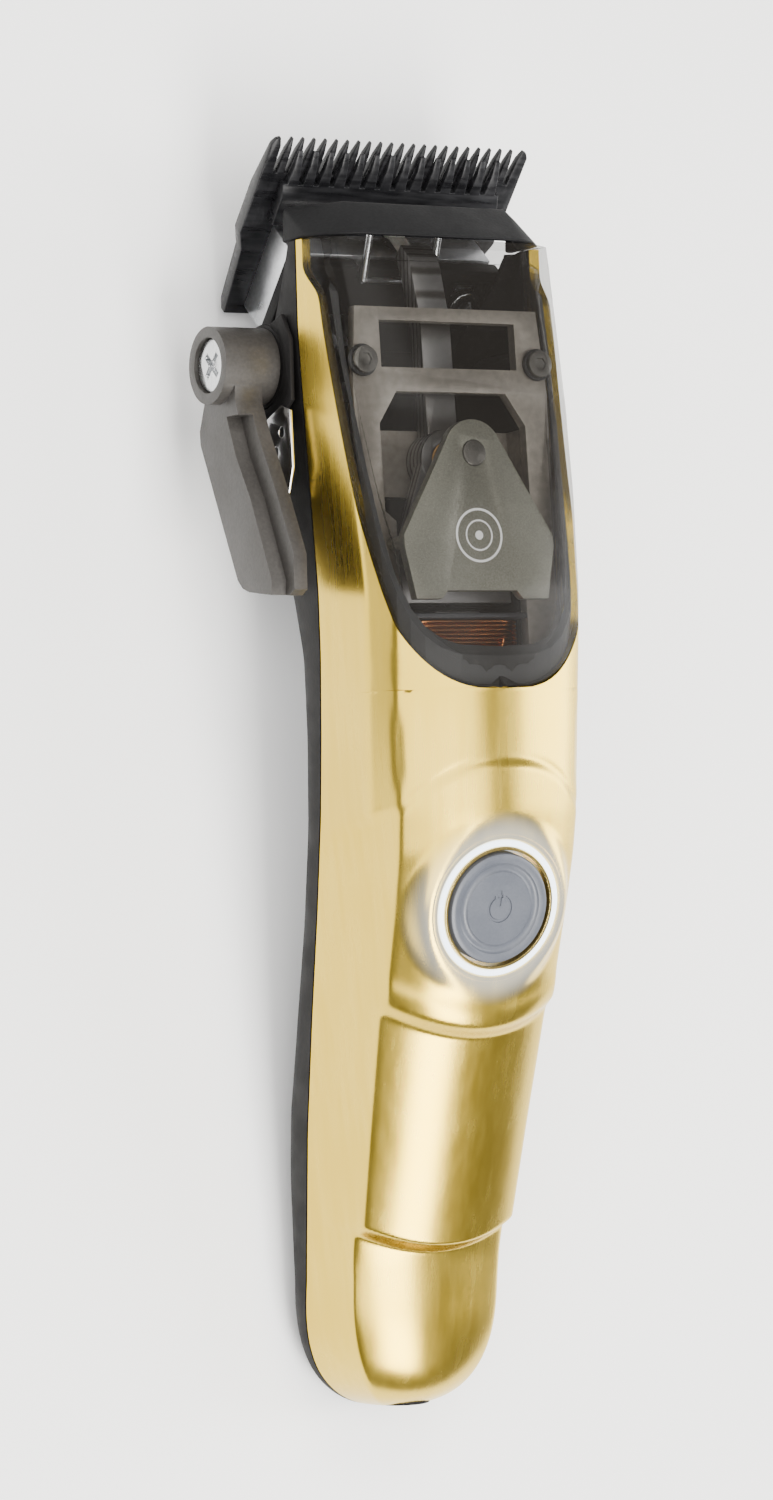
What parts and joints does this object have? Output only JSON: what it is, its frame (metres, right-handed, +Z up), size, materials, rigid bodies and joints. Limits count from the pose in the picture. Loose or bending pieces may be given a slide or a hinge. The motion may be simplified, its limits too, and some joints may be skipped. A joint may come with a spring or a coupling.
{
  "type": "hair_clipper",
  "caption": "Cordless hair clipper with a gold lid, smoked motor window, round power button, black comb blade and a side taper lever, lying on its back.",
  "frame": {"origin": "middle of the rear rest land under the tail, on the clipper's middle plane", "axes": "+X to the clipper's right (the taper lever is at -X), +Y along the body towards the blade, +Z up out of the gold front; the clipper lies on its back"},
  "size_m": [0.0535, 0.191, 0.0473],
  "materials": {
    "lid_gold": "satin metallic gold lacquer",
    "trim_gold": "bright gold",
    "housing_black": "fine matt",
    "lever_black": "soft satin",
    "nose_black": "matt",
    "window_smoke": "smoked clear polycarbonate",
    "gasket_rubber": "matt",
    "blade_black": "black coated steel",
    "carrier_zinc": "cast, satin",
    "steel_bright": "bright zinc",
    "leaf_chrome": "polished",
    "frame_grey": "warm grey",
    "cover_grey": "fine warm grey",
    "coil_copper": "lacquered copper",
    "former_dark": "matt",
    "core_steel": "blued laminations",
    "magnet_grey": "nickel",
    "bush_bronze": "oiled bronze",
    "tip_nylon": "natural nylon",
    "wire_red": "gloss",
    "button_grey": "satin",
    "light_white": "lit diffuser",
    "board_green": "solder mask",
    "chip_black": "matt",
    "cell_wrap": "shrink wrap",
    "cell_steel": "nickelled",
    "pin_brass": "bright"
  },
  "bodies": {
    "shell": {"front_lid": "lid_gold", "back_housing": "housing_black", "window": "window_smoke", "window_gasket": "gasket_rubber", "nose_cover": "nose_black", "blade_seat": "housing_black", "tension_spring": "steel_bright", "lever_bushing": "housing_black", "detent_leaf": "leaf_chrome", "detent_holder": "housing_black", "motor_frame": "frame_grey", "frame_screws": "steel_bright", "frame_washers": "gasket_rubber", "motor_cover": "cover_grey", "pivot_pin": "steel_bright", "magnet_core": "core_steel", "coil_former": "former_dark", "coil_winding": "coil_copper", "coil_leads": "wire_red", "button_ring": "trim_gold", "light_ring": "light_white", "circuit_board": "board_green", "board_chips": "chip_black", "touch_switch": "chip_black", "battery_cell": "cell_steel", "battery_sleeve": "cell_wrap", "battery_tabs": "steel_bright", "charge_inlet": "housing_black", "inlet_pin": "pin_brass", "housing_screws": "steel_bright"},
    "lever": {"taper_lever": "lever_black", "lever_screw": "leaf_chrome", "cam_shaft": "steel_bright"},
    "comb": {"fixed_blade": "blade_black", "blade_screws": "steel_bright", "blade_carrier": "carrier_zinc", "seat_screws": "steel_bright"},
    "cutter": {"cutter_blade": "blade_black", "drive_block": "nose_black"},
    "armature": {"armature_arm": "core_steel", "drive_tip": "tip_nylon", "arm_magnets": "magnet_grey", "pivot_bushes": "bush_bronze"},
    "button": {"power_button": "button_grey"}
  },
  "joints": [
    {"name": "taper_lever", "type": "hinge", "parent": "shell", "child": "lever", "pos_m": [0, 0.1338, 0.016], "axis": [1, 0, 0], "range_deg": [-25, 35]},
    {"name": "blade_slide", "type": "slide", "parent": "shell", "child": "comb", "axis": [0, 0.7455, 0.6665], "range_m": [-0.00067, 0.00093]},
    {"name": "armature_swing", "type": "hinge", "parent": "shell", "child": "armature", "pos_m": [0, 0.119, 0.04], "axis": [0, 0.0523, 0.9986], "range_deg": [-1.9, 1.9], "stiffness_Nm_per_rad": 0.3},
    {"name": "cutter_slide", "type": "slide", "parent": "shell", "child": "cutter", "axis": [1, 0, 0], "range_m": [-0.00123, 0.00123]},
    {"name": "power_press", "type": "slide", "parent": "shell", "child": "button", "axis": [0, 0.2419, -0.9703], "range_m": [0, 0.0005], "stiffness_N_per_m": 1200, "springref_m": -0.0006}
  ],
  "couplings": [
    {"joint": "taper_lever", "follows": "blade_slide", "rad_per_m": 654.45},
    {"joint": "armature_swing", "follows": "cutter_slide", "rad_per_m": -26.925}
  ]
}
